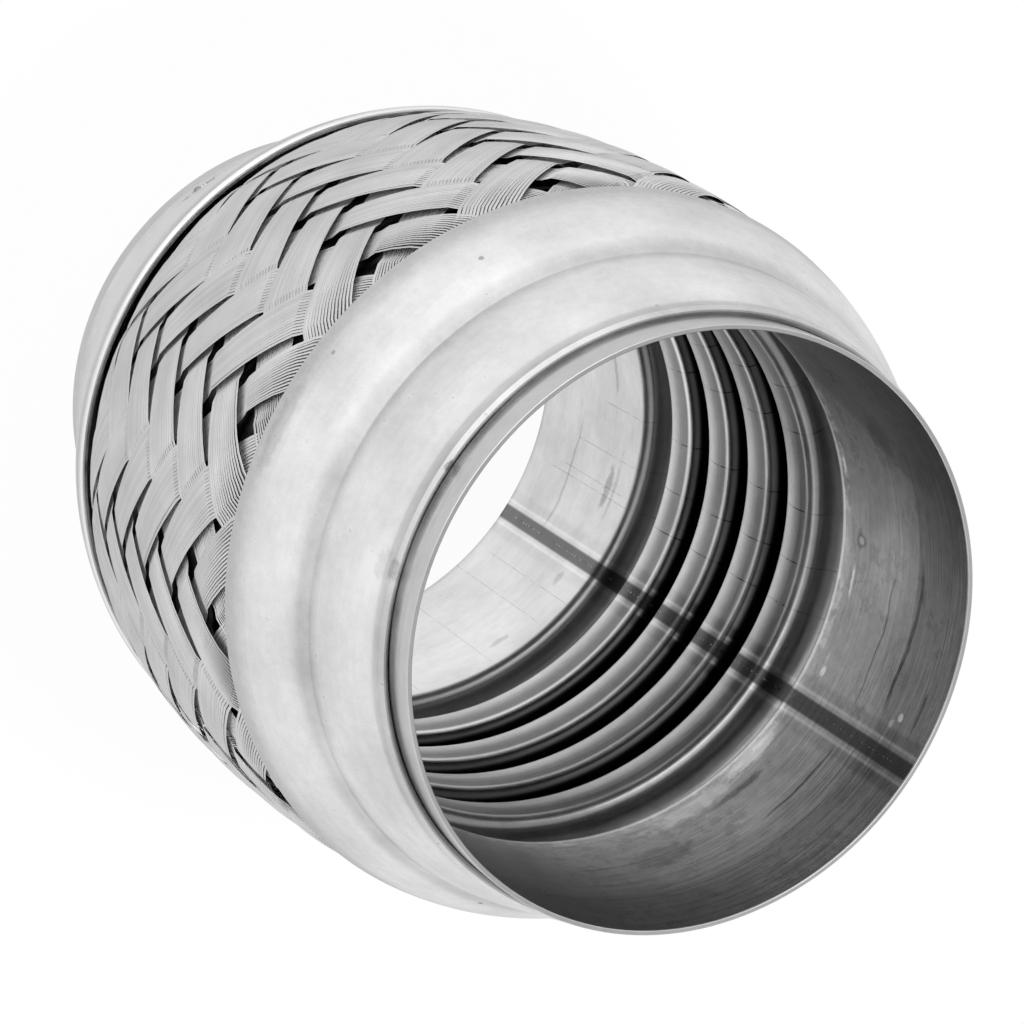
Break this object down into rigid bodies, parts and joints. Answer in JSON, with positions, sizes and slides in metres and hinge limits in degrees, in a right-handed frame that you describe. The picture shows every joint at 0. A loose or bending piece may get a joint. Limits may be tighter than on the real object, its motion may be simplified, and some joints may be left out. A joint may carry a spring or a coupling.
{
  "type": "exhaust flex pipe",
  "caption": "Short flexible exhaust coupling: a convoluted steel tube inside a woven wire sleeve, with a drawn collar and a plain round mouth at each end.",
  "frame": {"origin": "middle of the lower mouth, on the surface that the pipe stands on", "axes": "+Z along the pipe's axis, from the lower mouth to the upper one"},
  "size_m": [0.0852, 0.0852, 0.1016],
  "materials": {
    "tube_steel": "satin",
    "braid_wire": "drawn wire",
    "collar_steel": "satin"
  },
  "bodies": {
    "root": {"bellows_tube": "tube_steel", "wire_braid": "braid_wire", "lower_collar": "collar_steel", "upper_collar": "collar_steel"}
  },
  "joints": []
}
